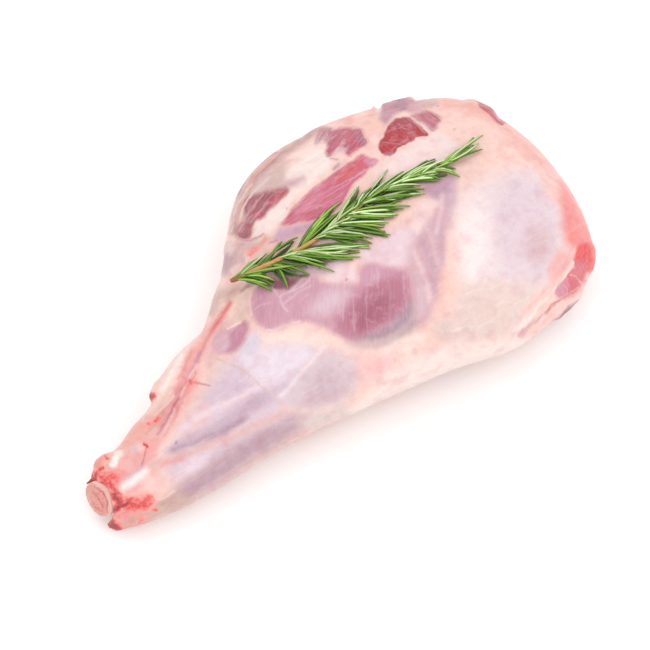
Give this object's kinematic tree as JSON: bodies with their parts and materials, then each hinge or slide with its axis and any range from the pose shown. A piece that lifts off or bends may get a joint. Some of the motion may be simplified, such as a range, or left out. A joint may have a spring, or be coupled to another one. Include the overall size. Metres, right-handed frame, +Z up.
{
  "type": "bone-in lamb leg",
  "caption": "Raw bone-in leg of lamb lying flat, with a sawn shank bone, a fat-covered rump, a cut face at the loin corner and a sprig of rosemary along the top.",
  "frame": {"origin": "middle of the bounding box in plan, on the table that the leg lies on", "axes": "+X along the leg from the shank end to the rump, +Y across it towards the inner thigh, +Z up"},
  "size_m": [0.3904, 0.2138, 0.0997],
  "materials": {
    "leg_meat": "moist fat and thin skin over pink raw meat",
    "shank_bone": "sawn bone, pale rim and pink marrow",
    "rosemary_sprig": "leathery green needles with pale undersides on a woody stem"
  },
  "bodies": {
    "root": {"leg_meat": "leg_meat", "shank_bone": "shank_bone", "rosemary_sprig": "rosemary_sprig"}
  },
  "joints": []
}
